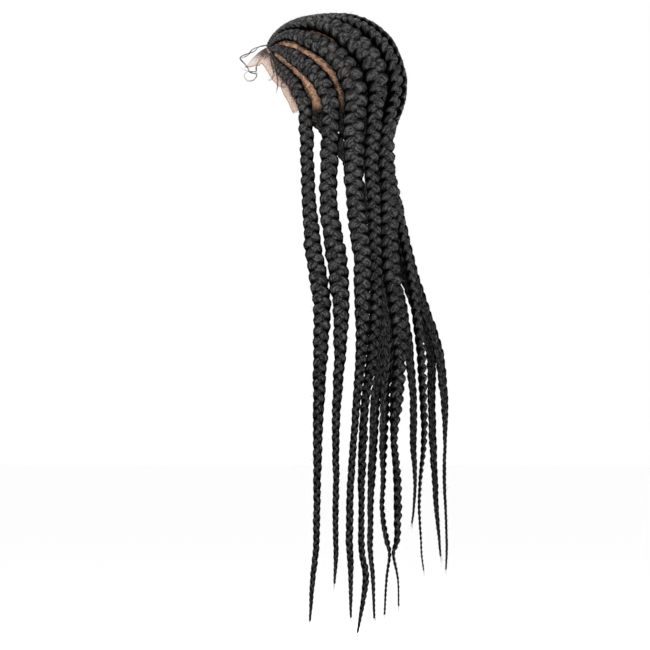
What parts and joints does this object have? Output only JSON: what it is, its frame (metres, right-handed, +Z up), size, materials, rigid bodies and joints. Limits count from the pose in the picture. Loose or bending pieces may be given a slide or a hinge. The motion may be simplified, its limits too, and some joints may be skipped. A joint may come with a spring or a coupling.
{
  "type": "braid wig",
  "caption": "Long black braid wig: a lace cap with a lace front, cornrows fanned back from the middle of the hairline, running on as long tapering plaits.",
  "frame": {"origin": "inside of the crown, where the cap rests on top of the wearer's head", "axes": "+Z up, the wearer looks along -Y, the wearer's left side is +X; the plaits hang along -Z"},
  "size_m": [0.1994, 0.3003, 0.9119],
  "materials": {
    "cap_lace": "matt tan net",
    "front_lace": "fine see-through net",
    "hair": "near-black crimped synthetic fibre, low sheen"
  },
  "bodies": {
    "root": {"lace_cap": "cap_lace", "lace_front": "front_lace", "cornrow_left_1": "hair", "cornrow_left_2": "hair", "cornrow_left_3": "hair", "cornrow_left_4": "hair", "cornrow_left_5": "hair", "cornrow_middle": "hair", "cornrow_right_5": "hair", "cornrow_right_4": "hair", "cornrow_right_3": "hair", "cornrow_right_2": "hair", "cornrow_right_1": "hair", "braid_left_1": "hair", "braid_left_2": "hair", "braid_left_3": "hair", "braid_left_4": "hair", "braid_left_5": "hair", "braid_middle": "hair", "braid_right_5": "hair", "braid_right_4": "hair", "braid_right_3": "hair", "braid_right_2": "hair", "braid_right_1": "hair"}
  },
  "joints": []
}
